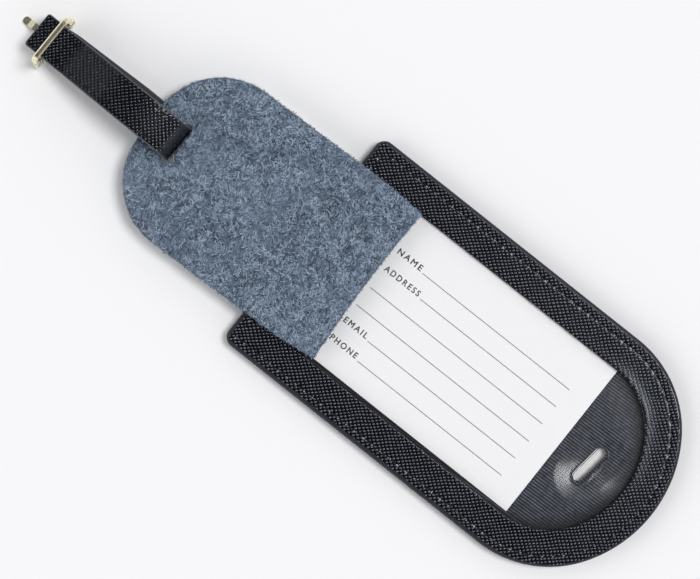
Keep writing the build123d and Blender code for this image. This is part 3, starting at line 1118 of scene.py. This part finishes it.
def layFibres(name, strands, material):
    # one thin three-sided strand, copied with its own bend and place each time
    bpy.ops.object.select_all(action="DESELECT")
    bpy.ops.mesh.primitive_cylinder_add(vertices=3, radius=0.5, depth=1, rotation=(0, quarter, 0))
    strand = named(name)
    applyPlace(strand)
    for at in (-0.25, 0.0, 0.25):
        editMesh(strand, lambda: bpy.ops.mesh.bisect(plane_co=(at, 0, 0), plane_no=(1, 0, 0)))
    shape = np.array([vertex.co for vertex in strand.data.vertices])
    faces = [list(face.vertices) for face in strand.data.polygons]
    remove(strand)
    points, links = [], []
    for number, (x, y, z, turn, length, width, bend, lift, lean) in enumerate(strands):
        t = shape[:, 0]
        heading = turn + bend * t
        taper = 1.0 - 1.1 * t * t
        centreX = x + length * (t * math.cos(turn) - bend * t * t / 2 * math.sin(turn))
        centreY = y + length * (t * math.sin(turn) + bend * t * t / 2 * math.cos(turn))
        centreZ = z + lift * (1 - 4 * t * t) + lean * (t + 0.5) * length
        side = shape[:, 1] * width * taper
        points.append(
            np.stack(
                [
                    centreX - np.sin(heading) * side,
                    centreY + np.cos(heading) * side,
                    centreZ + shape[:, 2] * width * taper * 0.6,
                ],
                axis=1,
            )
        )
        base = number * len(shape)
        links += [[corner + base for corner in face] for face in faces]
    mesh = bpy.data.meshes.new(name)
    mesh.from_pydata((np.concatenate(points) * mm).tolist(), [], links)
    piece = bpy.data.objects.new(name, mesh)
    bpy.context.collection.objects.link(piece)
    mergeMesh(piece, 0.0002)
    shadeSmooth(piece, 80)
    return finish(piece, "insert", material)


random.seed(23)
feltOutline = feltPoints(0.6, 4.0)
edgePlaces = alongPoints(feltPoints(0.3), 0.25)


def onFelt(shade):
    # a place on the felt, where fibres of this shade gather
    while True:
        x, y = random.uniform(-123, -41), random.uniform(-29, 29)
        left, right, low, high = felt["slotBox"]
        inSlot = left < x < right and low < y < high
        clump = noise.noise(Vector((x, y, 80)) / 3.2) + 0.6 * noise.noise(Vector((x, y, 5)) / 9)
        if abs(clump - shade) > random.uniform(0.15, 0.9) or inSlot:
            continue
        if inside((x, y), feltOutline):
            return x, y


for name, colour, share, shade in felt["shades"]:
    strands = []
    for number in range(int(felt["fibres"] * share)):
        x, y = onFelt(shade)
        combed = felt["nap"] + 2.2 * noise.noise(Vector((x, y, 17)) / 5) + random.uniform(-1.35, 1.35)
        strands.append(
            (
                x, y, felt["top"] - 0.05 + random.uniform(-0.04, 0.06), combed,
                random.uniform(*felt["fibreLength"]), felt["fibreWidth"] * random.uniform(0.6, 1.3),
                random.uniform(-0.4, 0.4), random.uniform(0.02, 0.08), 0.0,
            )
        )
    for number in range(int(felt["edgeFibres"] * share / 2)):
        x, y, heading = random.choice(edgePlaces)
        strands.append(
            (
                x, y, random.uniform(felt["bottom"] + 0.3, felt["top"] - 0.05),
                heading + random.uniform(-0.9, 0.9), random.uniform(0.8, 2.2),
                felt["fibreWidth"] * random.uniform(0.5, 0.9), random.uniform(-1.6, 1.6),
                random.uniform(-0.1, 0.1), random.uniform(-0.05, 0.05),
            )
        )
    layFibres("felt_fibres_" + name, strands, fibreWool("wool_fibre_" + name, colour))
print("felt laid")

strap = {
    "place": (-111.7, -1.1),
    "turn": -0.87,
    "start": (-53.0, 6.6),
    "moves": (  # straight lengths, and bends as a radius and a turn
        7.924, (24.0, 17.0), 12.477, (36.0, -37.0), (5.0, -70.0), 1.95, (3.0, -90.0), 44.0,
        (1.7, -180.0), (4.0, -25.0), 2.249, (4.0, 25.0), 10.6,
    ),
    "halfWidth": 5.8,
    "leather": 1.0,
    "lining": 0.8,
    "lip": 0.4,
    "tipCorner": 0.9,
    "stitchInset": 1.65,
    "stitchPitch": 3.25,
    "holeWidth": 3.2,
    "holeFrom": -2.5,  # along the strap, from the fold
    "holeTo": 7.8,
    "slip": (0.35, 1.1),  # how far the lower strand sits off the upper one, at the buckle and on
    "slipLength": 4.0,
    "fanLength": 30.0,
    "rejoin": (46.0, 12.0),  # how far behind the pin the strands are back in line, and over what length
}


def moveLength(move):
    return move[0] * abs(math.radians(move[1])) if isinstance(move, tuple) else move


strapLength = sum(moveLength(move) for move in strap["moves"])
heelAt = sum(moveLength(move) for move in strap["moves"][:8])


def sideSlip(behind):
    # the lower strand leaves the buckle in line and fans out under the felt
    fan = min(max(behind / strap["fanLength"], 0), 1)
    start = min(max(behind / strap["slipLength"], 0), 1)
    back = eased((strap["rejoin"][0] - behind) / strap["rejoin"][1])
    return (strap["slip"][0] * start + strap["slip"][1] * fan) * back


def bendStrap(along, across, height):
    # carries a point of the flat strap onto its bent path
    x, z = strap["start"]
    heading, rest = 0.0, along
    for number, move in enumerate(strap["moves"]):
        length = moveLength(move)
        last = number == len(strap["moves"]) - 1
        here = rest if rest < length or last else length
        if isinstance(move, tuple) and here > 0:
            sign = math.copysign(1, move[1])
            swing = sign * here / move[0]
            radius = sign * move[0]
            centreX, centreZ = x - radius * math.sin(heading), z + radius * math.cos(heading)
            heading += swing
            x, z = centreX + radius * math.sin(heading), centreZ - radius * math.cos(heading)
        else:
            x, z = x + here * math.cos(heading), z + here * math.sin(heading)
        rest -= here
        if rest <= 0:
            break
    x, z = x - height * math.sin(heading), z + height * math.cos(heading)
    across += sideSlip(heelAt - along)
    turn = math.radians(strap["turn"])
    placeX, placeY = strap["place"]
    return (
        placeX + x * math.cos(turn) - across * math.sin(turn),
        placeY + x * math.sin(turn) + across * math.cos(turn),
        z,
    )


def strapPoints(inset, spacing=0.45):
    side, corner = strap["halfWidth"] - inset, max(strap["tipCorner"] - inset, 0.05)
    left, right = inset, strapLength - inset
    longCount, endCount = int(strapLength / spacing), int(2 * strap["halfWidth"] / spacing)
    return [
        *linePoints((left + corner, -side), (right, -side), longCount),
        *linePoints((right, -side), (right, side), endCount),
        *linePoints((right, side), (left + corner, side), longCount),
        *arcPoints((left + corner, side - corner), corner, quarter, quarter, 6),
        *linePoints((left, side - corner), (left, corner - side), endCount),
        *arcPoints((left + corner, corner - side), corner, 2 * quarter, quarter, 6),
    ]


def keepFlatPlace(piece):
    # the flat strap's own place goes in its UV map, for the grain
    for layer in list(piece.data.uv_layers):
        piece.data.uv_layers.remove(layer)
    layer = piece.data.uv_layers.new(name="flat_place")
    for loop in piece.data.loops:
        layer.data[loop.index].uv = piece.data.vertices[loop.vertex_index].co[:2]


def bendPiece(piece, body, material, degrees=50):
    keepFlatPlace(piece)
    moveVertices(piece, bendStrap)
    shadeSmooth(piece, degrees)
    return finish(piece, body, material)


seamSide = strap["halfWidth"] - strap["stitchInset"]
strapSeam = [
    place
    for side in (-1, 1)
    for place in alongPoints(
        [(2.0, side * seamSide), (strapLength - 2.0, side * seamSide)], strap["stitchPitch"], False
    )
]
strapHoles = holeCells([(x - strap["stitchPitch"] / 2, y) for x, y, turn in strapSeam])


def flatLayer(name, top, bottom, lengthCuts, widthCuts, upward):
    # a thin slab with a prong hole where it folds round the pin
    inset = strap["lip"] - 0.05
    length, width = strapLength - 2 * inset, 2 * (strap["halfWidth"] - inset)
    bpy.ops.object.select_all(action="DESELECT")
    middle = (strapLength / 2 * mm, 0, top * mm)
    bpy.ops.mesh.primitive_grid_add(
        x_subdivisions=lengthCuts, y_subdivisions=widthCuts, size=1, location=middle
    )
    layer = named(name)
    layer.scale = (length * mm, width * mm, 1)
    applyPlace(layer)
    corner = strap["tipCorner"] - inset

    def shape(x, y, z):
        overX, overY = inset + corner - x, abs(y) - (width / 2 - corner)
        if overX > 0 and overY > 0 and math.hypot(overX, overY) > corner:
            pull = corner / math.hypot(overX, overY)
            x, y = inset + corner - overX * pull, math.copysign(width / 2 - corner + overY * pull, y)
        sink = 0.05 * (abs(y) / (width / 2)) ** 8 + 0.25 * dented(x, y, strapHoles, 0.5, 0.35)
        return x, y, z - upward * sink

    moveVertices(layer, shape)
    bpy.ops.object.mode_set(mode="EDIT")
    bpy.ops.mesh.select_mode(type="FACE")
    bpy.ops.mesh.select_all(action="DESELECT")
    bpy.ops.object.mode_set(mode="OBJECT")
    for face in layer.data.polygons:
        x, y = face.center.x / mm, face.center.y / mm
        folded = strap["holeFrom"] < x - heelAt < strap["holeTo"]
        face.select = folded and abs(y) < strap["holeWidth"] / 2
    bpy.ops.object.mode_set(mode="EDIT")
    bpy.ops.mesh.delete(type="FACE")
    bpy.ops.mesh.select_mode(type="VERT")
    bpy.ops.object.mode_set(mode="OBJECT")
    applyModifier(layer, "SOLIDIFY", thickness=abs(top - bottom) * mm, offset=-upward)
    mergeMesh(layer, 0.001)
    return layer


strapFace = flatLayer("strap_face", strap["leather"] - 0.04, 0.03, 340, 33, 1)
bendPiece(strapFace, "strap", strapGrain)
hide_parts("strap_leather")
strapBack = flatLayer("strap_back", -strap["lining"], -0.02, 260, 18, -1)
bendPiece(strapBack, "strap", smoothLeather)
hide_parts("strap_lining")

lip = strap["lip"]
beadRows = (
    (lip, 0.93), (lip * 0.6, 1.0), (lip * 0.25, 0.94), (0.05, 0.72), (0.0, 0.4), (0.0, -0.25),
    (0.05, -0.55), (lip * 0.25, -0.73), (lip * 0.6, -0.8), (lip, -0.74), (lip, 0.93),
)
strapEdge = sweepRows("strap_edge", strapPoints, beadRows)
mergeMesh(strapEdge)
bendPiece(strapEdge, "strap", strapPaint)

random.seed(31)
for name, height, upward in (("strap_front_stitches", 0.84, 1), ("strap_back_stitches", -0.62, -1)):
    bendPiece(sewRow(name, strapSeam, height, upward), "strap", waxedThread, 60)
remove(oneStitch)

for nodeName in ("buckle_frame", "heel_bar", "buckle_prong"):
    dress(nodeName, paleBrass)
print("strap buckled")
